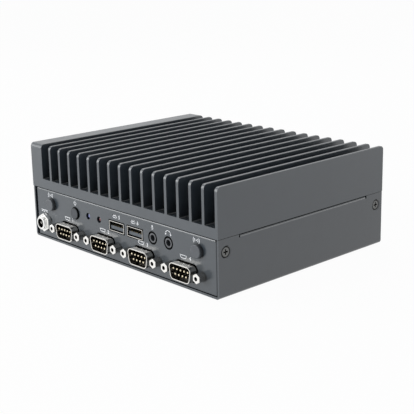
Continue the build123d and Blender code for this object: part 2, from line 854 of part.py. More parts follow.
def make_jack_screws():
    # Hexagonal screws with a threaded socket, two beside each serial port
    stud = sheet + serial_flange_thickness + thread_grip
    with BuildPart() as jack_screws:
        with BuildSketch(front_face):
            with Locations(*jack_points):
                RegularPolygon(jack_across / 2, 6, major_radius=False, rotation=30)
        extrude(amount=jack_reach)
        chamfer(jack_screws.faces().group_by(Axis.Y)[0].edges(), jack_chamfer)
        with BuildSketch(front_face):
            with Locations(*jack_points):
                Circle(jack_thread)
        extrude(amount=-stud)
        with BuildSketch(front_face.offset(jack_reach)):
            with Locations(*jack_points):
                Circle(jack_bore)
        extrude(amount=-jack_socket_depth, mode=Mode.SUBTRACT)
    keep(jack_screws, "jack_screws")


def make_usb_shell(port, number):
    width, height = usb_size
    with BuildPart() as usb_shell:
        with BuildSketch(port.offset(usb_reach)):
            RectangleRounded(width, height, usb_corner)
        extrude(amount=-usb_depth)
        with BuildSketch(port.offset(usb_reach)):
            RectangleRounded(width - 2 * usb_wall, height - 2 * usb_wall, usb_corner - usb_wall)
        extrude(amount=usb_wall - usb_depth, mode=Mode.SUBTRACT)
    keep(usb_shell, f"usb_shell_{number}")


def make_usb_tongues(ports):
    # Plastic block at the back of each shell, with the tongue low in its mouth
    width, height = usb_size
    inner_height = height - 2 * usb_wall - 2 * nest_gap
    tip = usb_reach - tongue_setback
    with BuildPart() as usb_tongues:
        for port in ports:
            with BuildSketch(port.offset(tip - tongue_length)):
                Rectangle(width - 2 * usb_wall - 2 * nest_gap - usb_wall, inner_height)
            extrude(amount=usb_reach - usb_depth + usb_wall - tip + tongue_length)
            with BuildSketch(port.offset(tip)):
                with Locations((0, tongue_floor_gap - inner_height / 2)):
                    Rectangle(tongue_width, tongue_thickness, align=(Align.CENTER, Align.MIN))
            extrude(amount=-tongue_length)
    keep(usb_tongues, "usb_tongues")


def make_audio_jack(port, label):
    body_width, body_depth = audio_body
    drop = row_height - (board_top - under_z)
    with BuildPart() as audio_jack:
        with BuildSketch(port.offset(-sheet)):
            with Locations((0, -drop)):
                Rectangle(body_width, drop + audio_nose, align=(Align.CENTER, Align.MIN))
        extrude(amount=-body_depth)
        with BuildSketch(port):
            Circle(audio_nose)
        extrude(amount=-sheet)
        with BuildSketch(port):
            Circle(audio_bore)
        extrude(amount=-audio_bore_depth, mode=Mode.SUBTRACT)
    keep(audio_jack, label)


def make_light_pipe(port, label):
    # Clear lens with a leg down to the lamp on the board
    lens_front = port.offset(-led_setback)
    drop = led_height - (board_top - under_z)
    with BuildPart() as light_pipe:
        with BuildSketch(lens_front):
            Circle(led_lens)
        extrude(amount=-led_length)
        fillet(light_pipe.edges().group_by(Axis.Y)[0], led_lens / 2)
        with BuildSketch(port.offset(led_leg - led_setback - led_length)):
            with Locations((0, -drop)):
                Rectangle(2 * led_lens, drop, align=(Align.CENTER, Align.MIN))
        extrude(amount=-led_leg)
    keep(light_pipe, label)


def make_power_button():
    # Cap that stands out of the panel, held in by its rim behind it
    port = port_plane(front_face, (button_x, row_height))
    with BuildPart() as power_button:
        with BuildSketch(port.offset(-sheet - hole_gap)):
            Circle(button_rim)
        extrude(amount=-button_rim_thickness)
        with BuildSketch(port.offset(-sheet - hole_gap)):
            Circle(button_radius)
        extrude(amount=sheet + hole_gap + button_reach)
        fillet(power_button.edges().group_by(Axis.Y)[0], button_dome)
    keep(power_button, "power_button")
    # Plunger of the switch, pushed by the cap
    seat = port.offset(-sheet - hole_gap - button_rim_thickness)
    with BuildPart() as switch_plunger:
        with BuildSketch(seat):
            Circle(plunger_radius)
        extrude(amount=-plunger_length)
    keep(switch_plunger, "switch_plunger")
    body_front = seat.offset(plunger_seat - plunger_length)
    drop = row_height - (board_top - under_z)
    width, depth = switch_size
    with BuildPart() as power_switch:
        with BuildSketch(body_front):
            with Locations((0, -drop)):
                Rectangle(width, 2 * drop, align=(Align.CENTER, Align.MIN))
        extrude(amount=-depth)
        with BuildSketch(body_front):
            Circle(plunger_radius + thread_gap)
        extrude(amount=-plunger_seat - 2 * button_travel, mode=Mode.SUBTRACT)
    keep(power_switch, "power_switch")


def make_antenna_plug(port, label):
    # Snap-in cover of an unused antenna hole
    with BuildPart() as antenna_plug:
        with BuildSketch(port):
            Circle(plug_radius)
        extrude(amount=plug_reach)
        fillet(antenna_plug.edges().group_by(Axis.Y)[0], plug_edge)
        with BuildSketch(port):
            Circle(plug_shank)
        extrude(amount=-sheet)
        with BuildSketch(port.offset(-sheet)):
            Circle(plug_barb)
        extrude(amount=-plug_tail, taper=10)
    keep(antenna_plug, label)


def make_dc_inlet():
    port = port_plane(front_face, (dc_x, dc_height))
    block_width, block_depth = dc_block
    drop = dc_height - (io_top - under_z)
    with BuildPart() as dc_inlet:
        with BuildSketch(port.offset(-sheet)):
            with Locations((0, -drop)):
                Rectangle(block_width, drop + dc_block_top, align=(Align.CENTER, Align.MIN))
        extrude(amount=-block_depth)
        with BuildSketch(port.offset(-sheet)):
            Circle(dc_thread)
        extrude(amount=sheet + dc_reach)
        chamfer(dc_inlet.edges().group_by(Axis.Y)[0], hole_gap * 3)
        with BuildSketch(port.offset(dc_reach)):
            Circle(dc_bore)
        extrude(amount=-dc_bore_depth, mode=Mode.SUBTRACT)
    keep(dc_inlet, "dc_inlet")
    with BuildPart() as dc_inlet_pin:
        with BuildSketch(port.offset(dc_reach - dc_bore_depth)):
            Circle(dc_pin)
        extrude(amount=dc_bore_depth - dc_pin_setback)
        chamfer(dc_inlet_pin.edges().group_by(Axis.Y)[0], dc_pin / 3)
    keep(dc_inlet_pin, "dc_inlet_pin")
    with BuildPart() as dc_washer:
        with BuildSketch(port):
            Circle(dc_washer_radius)
            Circle(dc_thread + hole_gap, mode=Mode.SUBTRACT)
        extrude(amount=dc_washer_thickness)
    keep(dc_washer, "dc_washer")
    with BuildPart() as dc_nut:
        with BuildSketch(port.offset(dc_washer_thickness)):
            RegularPolygon(dc_nut_across / 2, 6, major_radius=False, rotation=30)
        extrude(amount=dc_nut_thickness)
        chamfer(dc_nut.faces().group_by(Axis.Y)[0].edges(), jack_chamfer)
        with BuildSketch(port.offset(dc_washer_thickness)):
            Circle(dc_thread + thread_gap)
        extrude(amount=dc_nut_thickness, mode=Mode.SUBTRACT)
    keep(dc_nut, "dc_nut")


def make_network_jack(port, number):
    width, height = network_size
    front = port.offset(rear_reach)
    with BuildPart() as network_shell:
        with BuildSketch(front):
            Rectangle(width, height)
            Rectangle(width - 2 * network_wall, height - 2 * network_wall, mode=Mode.SUBTRACT)
        extrude(amount=-network_depth)
    keep(network_shell, f"network_shell_{number}")
    mouth_low = network_mouth_rise - height / 2
    with BuildPart() as network_insert:
        with BuildSketch(front.offset(-network_wall)):
            Rectangle(width - 2 * network_wall - 2 * nest_gap, height - 2 * network_wall - 2 * nest_gap)
        extrude(amount=network_wall - network_depth)
        with BuildSketch(front):
            with Locations((0, mouth_low)):
                Rectangle(*network_mouth, align=(Align.CENTER, Align.MIN))
                Rectangle(*network_tab, align=(Align.CENTER, Align.MAX))
        extrude(amount=-network_mouth_depth, mode=Mode.SUBTRACT)
    keep(network_insert, f"network_insert_{number}")


def make_video_port():
    # Flat video socket with two bevelled lower corners and a tongue inside
    width, height = video_size
    front = port_plane(rear_face, (video_x, video_height)).offset(rear_reach)
    tongue_width_in, tongue_height = video_tongue
    with BuildPart() as video_shell:
        with BuildSketch(front) as outline:
            Rectangle(width, height)
            chamfer(outline.vertices().group_by(Axis.Y)[0], height / 3)
            offset(amount=-usb_wall, mode=Mode.SUBTRACT)
        extrude(amount=-video_depth)
    keep(video_shell, "video_shell")
    with BuildPart() as video_tongue_part:
        with BuildSketch(front.offset(-tongue_setback)):
            Rectangle(tongue_width_in, tongue_height)
        extrude(amount=tongue_setback - video_depth)
        with BuildSketch(front.offset(-video_depth / 2)) as plug:
            Rectangle(width, height)
            chamfer(plug.vertices().group_by(Axis.Y)[0], height / 3)
            offset(amount=-usb_wall - nest_gap, mode=Mode.INTERSECT)
        extrude(amount=-video_depth / 2)
    keep(video_tongue_part, "video_tongue")


os.makedirs("parts", exist_ok=True)
make_heatsink()
make_chassis()
make_front_panel()
make_rear_panel()
make_rubber_feet()
make_base_inserts()
make_side_screws()
make_panel_screws()
make_base_screws()
make_board_posts()
make_board_screws()
make_main_board()
make_io_board()
make_board_link()
make_processor()
make_heat_block()
make_memory()
make_storage()
make_clock_battery()

serial_ports = [port_plane(front_face, point) for point in serial_points]
for number, port in enumerate(serial_ports, start=1):
    make_serial_shell(port, number)
    make_serial_insulator(port, number)
make_serial_pins()
make_jack_screws()

usb_ports = [port_plane(front_face, point) for point in usb_points]
usb_ports += [port_plane(rear_face, point) for point in rear_usb_points]
for number, port in enumerate(usb_ports, start=1):
    make_usb_shell(port, number)
make_usb_tongues(usb_ports)

for label, point in zip(("audio_jack_left", "audio_jack_right"), audio_points):
    make_audio_jack(port_plane(front_face, point), label)
for label, point in zip(("led_power", "led_disk"), led_points):
    make_light_pipe(port_plane(front_face, point), label)
for label, point in zip(("antenna_plug_left", "antenna_plug_right"), antenna_points):
    make_antenna_plug(port_plane(front_face, point), label)
make_power_button()
make_dc_inlet()
for number, point in enumerate(network_points, start=1):
    make_network_jack(port_plane(rear_face, point), number)
make_video_port()
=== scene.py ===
import math

import bmesh
import bpy
from mathutils import Matrix, Vector


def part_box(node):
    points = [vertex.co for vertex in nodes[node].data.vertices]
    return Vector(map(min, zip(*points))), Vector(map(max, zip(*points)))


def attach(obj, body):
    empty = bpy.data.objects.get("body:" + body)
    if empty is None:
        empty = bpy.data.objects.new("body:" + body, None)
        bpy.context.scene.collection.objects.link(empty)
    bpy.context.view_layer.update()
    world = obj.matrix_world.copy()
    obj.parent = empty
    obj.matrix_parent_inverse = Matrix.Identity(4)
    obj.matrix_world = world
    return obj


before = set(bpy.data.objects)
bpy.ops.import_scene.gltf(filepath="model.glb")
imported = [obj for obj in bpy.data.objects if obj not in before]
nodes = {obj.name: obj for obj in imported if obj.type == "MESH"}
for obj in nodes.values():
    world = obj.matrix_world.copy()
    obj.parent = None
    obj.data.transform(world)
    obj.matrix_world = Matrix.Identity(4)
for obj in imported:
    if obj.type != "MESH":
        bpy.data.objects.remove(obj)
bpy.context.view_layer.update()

MM = 0.001

# Ports of each kind in the frame. The first USB ports are on the front and the others at the rear
SERIAL_PORTS = 4
USB_PORTS = 4
FRONT_USB_PORTS = 2
NETWORK_PORTS = 2

# Sizes of the solids that their boxes don't give, in millimetres
SHELL_HALF = 4.5
NOSE_RADIUS = 3.05
CAP_RADIUS = 3.5


def middle(node):
    low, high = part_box(node)
    return [(a + b) / 2 for a, b in zip(low, high)]


def front_of(node):
    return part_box(node)[0][1]


def rear_of(node):
    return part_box(node)[1][1]


def top_of(node):
    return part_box(node)[1][2]


# Places that follow from the frame
PANEL_Y = front_of("front_panel")
PANEL_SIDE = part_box("front_panel")[1][0]
CASE_Y = middle("heatsink")[1]
CASE_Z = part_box("chassis")[0][2]

# Camera of the photograph: its place from the middle of the case's underside, where it looks, in
# degrees, and its lens and sensor, in millimetres
CAMERA_AT = (413.25 * MM, -377.84 * MM, 175.17 * MM)
CAMERA_YAW = 47.33
CAMERA_PITCH = -14.22
CAMERA_ROLL = -1.19
CAMERA_LENS = 84.13
CAMERA_SENSOR = 36
CAMERA_SHIFT = -0.0531
CAMERA_CLIP = 0.01


def make_camera():
    yaw, pitch, roll = map(math.radians, (CAMERA_YAW, CAMERA_PITCH, CAMERA_ROLL))
    flat = math.cos(pitch)
    look = Vector((-math.sin(yaw) * flat, math.cos(yaw) * flat, math.sin(pitch)))
    level = Vector((math.cos(yaw), math.sin(yaw), 0))
    up = level.cross(look)
    right = math.cos(roll) * level + math.sin(roll) * up
    above = math.cos(roll) * up - math.sin(roll) * level
    data = bpy.data.cameras.new("photo_camera")
    data.sensor_width = CAMERA_SENSOR
    data.lens = CAMERA_LENS
    data.shift_y = CAMERA_SHIFT
    data.clip_start = CAMERA_CLIP
    camera = bpy.data.objects.new("photo_camera", data)
    turn = Matrix((right, above, -look)).transposed().to_4x4()
    place = Vector(CAMERA_AT) + Vector((0, CASE_Y, CASE_Z))
    camera.matrix_world = Matrix.Translation(place) @ turn
    bpy.context.scene.collection.objects.link(camera)
    bpy.context.scene.camera = camera


# The tall lamps stand to the left, so the slots between the fins stay dark
LAMPS = {
    "front_left_softbox": {
        "place": (-0.5, -0.85, 0.3), "target": (-0.02, -0.06, 0.03),
        "size": (1.0, 0.8), "power": 9.4,
    },
    "overhead_softbox": {
        "place": (-0.55, 0.3, 0.9), "target": (0, 0, 0.05),
        "size": (0.8, 0.8), "power": 3.0,
    },
    "right_softbox": {
        "place": (0.6, 0.55, 0.08), "target": (0.08, 0.06, 0.03),
        "size": (0.4, 0.3), "power": 0.5,
    },
}


def area_light(name, place, target, size, power):
    data = bpy.data.lights.new(name, "AREA")
    data.shape = "RECTANGLE"
    data.size, data.size_y = size
    data.energy = power
    lamp = bpy.data.objects.new(name, data)
    lamp.location = place
    toward = Vector(target) - Vector(place)
    lamp.rotation_euler = toward.to_track_quat("-Z", "Y").to_euler()
    bpy.context.scene.collection.objects.link(lamp)


def make_light():
    for name, values in LAMPS.items():
        area_light(name, **values)


def plug(tree, value, socket):
    # Link another node's output to the socket, or set the socket to a plain value
    if isinstance(value, bpy.types.NodeSocket):
        tree.links.new(value, socket)
    else:
        socket.default_value = value


def add_node(tree, kind, inputs, **settings):
    node = tree.nodes.new("ShaderNode" + kind)
    for name, value in settings.items():
        setattr(node, name, value)
    for name, value in inputs.items():
        plug(tree, value, node.inputs[name])
    return node


def empty_tree(holder):
    holder.use_nodes = True
    holder.node_tree.nodes.clear()
    return holder.node_tree


def seen_directly(tree):
    # 1 for the camera's rays and those off metal or through glass, 0 for light on other surfaces
    path = add_node(tree, "LightPath", {}).outputs
    level = path["Is Camera Ray"]
    for kind in ("Is Glossy Ray", "Is Transmission Ray"):
        level = add_node(tree, "Math", {0: level, 1: path[kind]}, operation="MAXIMUM").outputs[0]
    return level


# Colours and levels of the surroundings, and half the floor's width in metres
WHITE = (1, 1, 1, 1)
WORLD_TINT = (0.8, 0.89, 1.0, 1)
WORLD_LEVEL = 0.28
FLOOR_HALF = 6.0
FLOOR_MATT = (0.86, 0.86, 0.86, 1)
FLOOR_WHITE = 0.97


def make_world():
    # Even pale surroundings, and plain white where the camera, metal or glass looks at them
    world = bpy.data.worlds.new("studio")
    bpy.context.scene.world = world
    tree = empty_tree(world)
    pale = add_node(tree, "Background", {"Color": WORLD_TINT, "Strength": WORLD_LEVEL})
    white = add_node(tree, "Background", {"Color": WHITE})
    inputs = {"Fac": seen_directly(tree), 1: pale.outputs[0], 2: white.outputs[0]}
    mix = add_node(tree, "MixShader", inputs)
    add_node(tree, "OutputWorld", {"Surface": mix.outputs[0]})


def make_floor():
    # White sweep under the object that keeps a faint shadow
    mesh = bpy.data.meshes.new("floor")
    signs = ((-1, -1), (1, -1), (1, 1), (-1, 1))
    mesh.from_pydata([(x * FLOOR_HALF, y * FLOOR_HALF, 0) for x, y in signs], [], [(0, 1, 2, 3)])
    floor = bpy.data.objects.new("floor", mesh)
    bpy.context.scene.collection.objects.link(floor)
    material = bpy.data.materials.new("floor_white")
    tree = empty_tree(material)
    matt = add_node(tree, "BsdfDiffuse", {"Color": FLOOR_MATT})
    glow = add_node(tree, "Emission", {"Color": WHITE})
    share = add_node(tree, "Math", {0: seen_directly(tree), 1: FLOOR_WHITE}, operation="MULTIPLY")
    inputs = {"Fac": share.outputs[0], 1: matt.outputs[0], 2: glow.outputs[0]}
    mix = add_node(tree, "MixShader", inputs)
    add_node(tree, "OutputMaterial", {"Surface": mix.outputs[0]})
    mesh.materials.append(material)


# Range in which noise has most of its values, and its detail in patches and in relief
NOISE_LOW, NOISE_HIGH = 0.3, 0.7
PATCH_DETAIL = 4.0
RELIEF_DETAIL = 3.0

# Samples of the search for near surfaces, and the blend of a rim of painted shade in millimetres
SHADE_SAMPLES = 8
RIM_BLEND = 0.3


class Surface:
    """A material whose shader is reached by socket name, with helpers for grain and variation."""

    def __init__(self, name, color, roughness, metallic=0.0):
        self.material = bpy.data.materials.new(name)
        self.material.use_nodes = True
        self.tree = self.material.node_tree
        self.shader = self.tree.nodes["Principled BSDF"]
        self.color = color
        self.roughness = roughness
        self.set(Base_Color=(*color, 1), Roughness=roughness, Metallic=metallic)
        self.place = self.add("TexCoord", {}).outputs["Object"]

    def set(self, **values):
        # A value for each of the shader's sockets, which may be another node's output
        for name, value in values.items():
            plug(self.tree, value, self.shader.inputs[name.replace("_", " ")])

    def add(self, kind, inputs, **settings):
        return add_node(self.tree, kind, inputs, **settings)

    def calculate(self, operation, *values):
        return self.add("Math", dict(enumerate(values)), operation=operation).outputs[0]

    def current(self, name):
        # What reaches one of the shader's sockets so far
        socket = self.shader.inputs[name]
        return socket.links[0].from_socket if socket.is_linked else socket.default_value

    def noise(self, size_mm, detail, stretch=(1, 1, 1)):
        # Noise with features of about the given size, stretched along the axes
        mapping = self.add("Mapping", {"Vector": self.place, "Scale": stretch}).outputs["Vector"]
        inputs = {"Vector": mapping, "Scale": 1 / (size_mm * MM), "Detail": detail}
        return self.add("TexNoise", inputs).outputs["Fac"]

    def spread(self, fac, low, high, start=NOISE_LOW, end=NOISE_HIGH):
        # A number that goes from low to high while fac goes from start to end
        inputs = {"Value": fac, "From Min": start, "From Max": end, "To Min": low, "To Max": high}
        return self.add("MapRange", inputs).outputs["Result"]

    def vary_color(self, size_mm, amount):
        # Lighter and darker patches of the same colour
        darker = [c * (1 - amount) for c in self.color]
        lighter = [min(c * (1 + amount), 1) for c in self.color]
        fac = self.spread(self.noise(size_mm, PATCH_DETAIL), 0.0, 1.0)
        inputs = {"Factor": fac, "A": (*darker, 1), "B": (*lighter, 1)}
        self.set(Base_Color=self.add("Mix", inputs, data_type="RGBA").outputs["Result"])

    def vary_roughness(self, size_mm, less, more):
        low, high = self.roughness - less, self.roughness + more
        self.set(Roughness=self.spread(self.noise(size_mm, PATCH_DETAIL), low, high))

    def relief(self, height, depth_mm, strength):
        inputs = {"Strength": strength, "Distance": depth_mm * MM, "Height": height}
        self.set(Normal=self.add("Bump", inputs).outputs["Normal"])

    def grain(self, size_mm, depth_mm, strength, stretch=(1, 1, 1)):
        # Fine uneven relief
        self.relief(self.noise(size_mm, RELIEF_DETAIL, stretch), depth_mm, strength)

    def shade(self, reach_mm, darkest, start, end, gloss=False):
        # Painted shade: darker colour, and gloss if asked, where other surfaces are close, as in
        # gaps and sockets
        inputs = {"Distance": reach_mm * MM}
        near = self.add("AmbientOcclusion", inputs, samples=SHADE_SAMPLES).outputs["AO"]
        self.scale_color(self.spread(near, darkest, 1.0, start, end), gloss)

    def scale_color(self, level, gloss=False):
        # Multiply the colour so far by a number that changes over the surface, and the gloss too
        if gloss:
            sheen = self.current("Specular IOR Level")
            self.set(Specular_IOR_Level=self.calculate("MULTIPLY", sheen, level))
        inputs = {"Factor": 1.0, "A": self.current("Base Color"), "B": level}
        mix = self.add("Mix", inputs, data_type="RGBA", blend_type="MULTIPLY")
        self.set(Base_Color=mix.outputs["Result"])

    def coordinate(self, axis, vector):
        return self.add("SeparateXYZ", {"Vector": vector}).outputs[axis]

    def along(self, axis, start, end, low, high):
        # A number that goes from low to high between two places on an axis, in metres
        return self.spread(self.coordinate(axis, self.place), low, high, start, end)

    def both_sides(self, axis, start, end, low, high):
        # The same on both sides of the frame's middle
        distance = self.calculate("ABSOLUTE", self.coordinate(axis, self.place))
        return self.spread(distance, low, high, start, end)

    def from_axis(self, center, axis, spacing=0):
        # Distance from a level axis through the centre, or from the nearer of two beside it
        across = "Y" if axis == "X" else "X"
        inputs = {0: self.place, 1: center}
        offset = self.add("VectorMath", inputs, operation="SUBTRACT").outputs["Vector"]
        side = self.calculate("ABSOLUTE", self.coordinate(across, offset))
        nearer = self.calculate("SUBTRACT", side, spacing)
        flat = self.add("CombineXYZ", {"X": nearer, "Z": self.coordinate("Z", offset)})
        inputs = {0: flat.outputs["Vector"]}
        return self.add("VectorMath", inputs, operation="LENGTH").outputs["Value"]

    def dark_rim(self, distance, radius, width_mm, level):
        # Painted shade towards the edge of a round piece, where it meets the hole round it
        start = radius - width_mm * MM
        self.scale_color(self.spread(distance, 1.0, level, start, start + RIM_BLEND * MM), True)


# Colours, as red, green and blue
COAT = (0.047, 0.058, 0.069)
OXIDE = (0.15, 0.152, 0.15)
SHELL_NICKEL = (0.95, 0.93, 0.88)
JACK_NICKEL = (0.94, 0.93, 0.9)
FOLDED_NICKEL = (0.82, 0.8, 0.76)
TURNED_NICKEL = (0.95, 0.95, 0.93)
PLAIN_STEEL = (0.6, 0.6, 0.59)
MILLED_ALUMINIUM = (0.78, 0.78, 0.79)
PIN_GOLD = (0.85, 0.76, 0.56)
CONTACT_GOLD = (0.42, 0.35, 0.22)
BRASS = (0.72, 0.56, 0.3)
SERIAL_PLASTIC = (0.045, 0.034, 0.024)
BLACK_PLASTIC = (0.02, 0.02, 0.021)
TONGUE_PLASTIC = (0.085, 0.1, 0.115)
PLUNGER_PLASTIC = (0.3, 0.31, 0.32)
AUDIO_PLASTIC = (0.12, 0.125, 0.133)
BUTTON_PLASTIC = (0.05, 0.057, 0.067)
PAD_GREY = (0.4, 0.42, 0.45)
FOOT_RUBBER = (0.02, 0.02, 0.02)
PLUG_RUBBER = (0.092, 0.099, 0.109)
LENS_BLUE = (0.25, 0.29, 0.62)
LENS_RED = (0.22, 0.04, 0.05)
BOARD_GREEN = (0.012, 0.1, 0.045)
RUN_GREEN = (0.03, 0.2, 0.08)
PRINT_WHITE = (0.88, 0.89, 0.9)

# Places in millimetres where a colour changes, and the share of it that is left from there on.
# Painted shade along the edges of the panels, where they meet the case: how far in it starts and
# how wide it blends
EDGE_INSET = 1.1
EDGE_BLEND = 0.7
EDGE_SHADE_LEVEL = 0.12

# Painted highlights on the rims of shells and hexagons, which end between these places behind their
# front, and the share of colour left behind them as painted shade
RIM_START, RIM_END = 0.4, 0.8
SHELL_BODY_SHADE_LEVEL = 0.48
JACK_SIDE_SHADE_LEVEL = 0.36

# Painted highlights on the bumps, over the shell's top
BUMP_START, BUMP_END = 0.05, 0.2
BUMP_HIGHLIGHT_LEVEL = 2.0

# Painted shade on the part of a shell in the panel's cut-out, before the panel's face
CUT_OUT_DEPTH = 0.5
CUT_OUT_SHADE_LEVEL = 0.04

# Painted shade on the pins behind their bright tips
TIP_START, TIP_END = 0.25, 1.1
PIN_SHADE_LEVEL = 0.05

# Cells of the boards' net of copper runs in a metre, and where a run's edge blends, in cells
NET_SCALE = 260
RUN_START, RUN_END = 0.03, 0.06


def powder_coat(name, roughness, relief, reach_mm, start, end, gloss=False, edge=None):
    # Given a place along X, in metres, the coat turns darker beyond it, on both sides, as painted
    # shade where the panels meet the case
    coat = Surface(name, COAT, roughness)
    coat.set(Specular_IOR_Level=1.0)
    coat.vary_color(size_mm=14, amount=0.04)
    coat.vary_roughness(size_mm=5, less=0.03, more=0.04)
    coat.grain(size_mm=0.6, depth_mm=0.015, strength=relief)
    # Painted shade where other surfaces are close: in the slots between the fins, the seams and the
    # screws' countersinks
    coat.shade(reach_mm, darkest=0.15, start=start, end=end, gloss=gloss)
    if edge is not None:
        level = coat.both_sides("X", edge, edge + EDGE_BLEND * MM, 1.0, EDGE_SHADE_LEVEL)
        coat.scale_color(level, gloss)
    return coat.material


def nickel(name, color, roughness, reach_mm, darkest, end):
    plate = Surface(name, color, roughness, metallic=1.0)
    plate.vary_color(size_mm=1.6, amount=0.03)
    plate.vary_roughness(size_mm=0.8, less=0.03, more=0.03)
    plate.grain(size_mm=1.2, depth_mm=0.006, strength=0.05, stretch=(1, 0.2, 1))
    # Painted shade inside sockets, bores and folds
    plate.shade(reach_mm, darkest, start=0.1, end=end)
    return plate


def shell_plate(name):
    # Painted highlights at the rim and on the bumps, painted shade that leaves the body duller, and
    # painted shade that darkens it in the panel's cut-out
    front = front_of("serial_shell_1")
    top = middle("serial_shell_1")[2] + SHELL_HALF * MM
    plate = nickel(name, SHELL_NICKEL, roughness=0.16, reach_mm=0.8, darkest=0.35, end=0.4)
    for axis, start, end, level in (
        ("Y", front + RIM_START * MM, front + RIM_END * MM, SHELL_BODY_SHADE_LEVEL),
        ("Z", top + BUMP_START * MM, top + BUMP_END * MM, BUMP_HIGHLIGHT_LEVEL),
        ("Y", PANEL_Y - CUT_OUT_DEPTH * MM, PANEL_Y, CUT_OUT_SHADE_LEVEL),
    ):
        plate.scale_color(plate.along(axis, start, end, 1.0, level))
    return plate.material


def jack_plate(name):
    # Painted highlight at the front of the hexagons, and painted shade that leaves their sides
    # duller
    front = front_of("jack_screws")
    plate = nickel(name, JACK_NICKEL, roughness=0.18, reach_mm=1.4, darkest=0.15, end=0.4)
    start, end = front + RIM_START * MM, front + RIM_END * MM
    plate.scale_color(plate.along("Y", start, end, 1.0, JACK_SIDE_SHADE_LEVEL))
    return plate.material


def moulded(name, color, roughness=0.5, end=None, radius_mm=0, level=1.0):
    # Given a place in the middle of its round end on the front, the rim there is darkened with
    # painted shade
    plastic = Surface(name, color, roughness)
    plastic.vary_color(size_mm=3, amount=0.12)
    plastic.vary_roughness(size_mm=1.5, less=0.04, more=0.06)
    plastic.grain(size_mm=0.25, depth_mm=0.012, strength=0.4)
    plastic.shade(reach_mm=3.0, darkest=0.15, start=0.35, end=0.95)
    if end:
        plastic.dark_rim(plastic.from_axis(end, "Y"), radius_mm * MM, width_mm=0.6, level=level)
    return plastic.material


def rubber(name, color, roughness=0.62):
    skin = Surface(name, color, roughness)
    skin.vary_color(size_mm=2.5, amount=0.1)
    skin.vary_roughness(size_mm=2, less=0.08, more=0.08)
    skin.grain(size_mm=0.35, depth_mm=0.02, strength=0.4)
    skin.shade(reach_mm=3.0, darkest=0.12, start=0.5, end=0.95)
    return skin.material


def gold(name, color):
    plate = Surface(name, color, roughness=0.26, metallic=1.0)
    plate.vary_color(size_mm=0.9, amount=0.08)
    plate.vary_roughness(size_mm=0.5, less=0.06, more=0.08)
    plate.grain(size_mm=0.3, depth_mm=0.008, strength=0.2)
    plate.shade(reach_mm=2.0, darkest=0.1, start=0.3, end=0.8)
    return plate.material


def pin_plate(name):
    # Painted shade on the pins, which leaves them bright at their tips and dull towards the
    # moulding they stand in
    tip = front_of("serial_pins")
    plate = Surface(name, PIN_GOLD, roughness=0.34, metallic=1.0)
    plate.vary_color(size_mm=0.9, amount=0.06)
    plate.vary_roughness(size_mm=0.5, less=0.06, more=0.06)
    plate.scale_color(plate.along("Y", tip + TIP_START * MM, tip + TIP_END * MM, 1.0, PIN_SHADE_LEVEL))
    return plate.material


def steel(name, color, roughness):
    metal = Surface(name, color, roughness, metallic=1.0)
    metal.vary_color(size_mm=2, amount=0.08)
    metal.vary_roughness(size_mm=1.2, less=0.08, more=0.12)
    metal.grain(size_mm=0.3, depth_mm=0.01, strength=0.5, stretch=(1, 1, 0.15))
    return metal.material


def black_oxide(name, heads=None):
    # Given a node of round heads on both sides, two on each, their rims are darkened with painted
    # shade
    metal = Surface(name, OXIDE, roughness=0.32, metallic=0.9)
    metal.vary_color(size_mm=1.2, amount=0.1)
    metal.vary_roughness(size_mm=0.9, less=0.04, more=0.1)
    metal.grain(size_mm=0.4, depth_mm=0.01, strength=0.3)
    metal.shade(reach_mm=1.2, darkest=0.1, start=0.35, end=0.85)
    if heads:
        low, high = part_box(heads)
        radius = (high[2] - low[2]) / 2
        distance = metal.from_axis(middle(heads), "X", (high[1] - low[1]) / 2 - radius)
        metal.dark_rim(distance, radius, width_mm=0.75, level=0.1)
    return metal.material


def circuit_board(name):
    # Green lacquer over copper runs that show as a slightly raised, lighter net
    board = Surface(name, BOARD_GREEN, roughness=0.32)
    inputs = {"Vector": board.place, "Scale": NET_SCALE}
    net = board.add("TexVoronoi", inputs, feature="DISTANCE_TO_EDGE").outputs["Distance"]
    run = board.spread(net, 1.0, 0.0, RUN_START, RUN_END)
    inputs = {"Factor": run, "A": (*BOARD_GREEN, 1), "B": (*RUN_GREEN, 1)}
    board.set(Base_Color=board.add("Mix", inputs, data_type="RGBA").outputs["Result"])
    board.relief(run, depth_mm=0.03, strength=0.4)
    return board.material


def lens(name, color):
    tint = Surface(name, color, roughness=0.18)
    tint.set(Transmission_Weight=0.35, IOR=1.49, Coat_Weight=0.6, Coat_Roughness=0.08)
    tint.vary_color(size_mm=1.0, amount=0.15)
    tint.grain(size_mm=0.8, depth_mm=0.01, strength=0.3)
    return tint.material


def ink(name):
    white = Surface(name, PRINT_WHITE, roughness=0.55)
    white.vary_color(size_mm=0.6, amount=0.05)
    white.grain(size_mm=0.2, depth_mm=0.005, strength=0.4)
    return white.material


def dress(material, *names):
    for name in names:
        slots = nodes[name].data.materials
        slots.clear()
        slots.append(material)


def numbered(stem, count):
    return [f"{stem}_{n}" for n in range(1, count + 1)]


def dress_case():
    edge = PANEL_SIDE - EDGE_INSET * MM
    fins = powder_coat(
        "heatsink_coat", roughness=0.32, relief=0.12, reach_mm=9, start=0.28, end=0.88,
    )
    sheet = powder_coat(
        "sheet_coat", roughness=0.2, relief=0.06, reach_mm=1.5, start=0.35, end=0.9, gloss=True,
    )
    panels = powder_coat(
        "panel_coat", roughness=0.23, relief=0.06, reach_mm=1.5, start=0.25, end=0.9, gloss=True,
        edge=edge,
    )
    dress(fins, "heatsink")
    dress(sheet, "chassis")
    dress(panels, "front_panel", "rear_panel")
    dress(black_oxide("side_screw_black", "side_screws"), "side_screws")
    dress(black_oxide("base_screw_black"), "base_screws")
    dress(rubber("foot_rubber", FOOT_RUBBER), "rubber_feet")


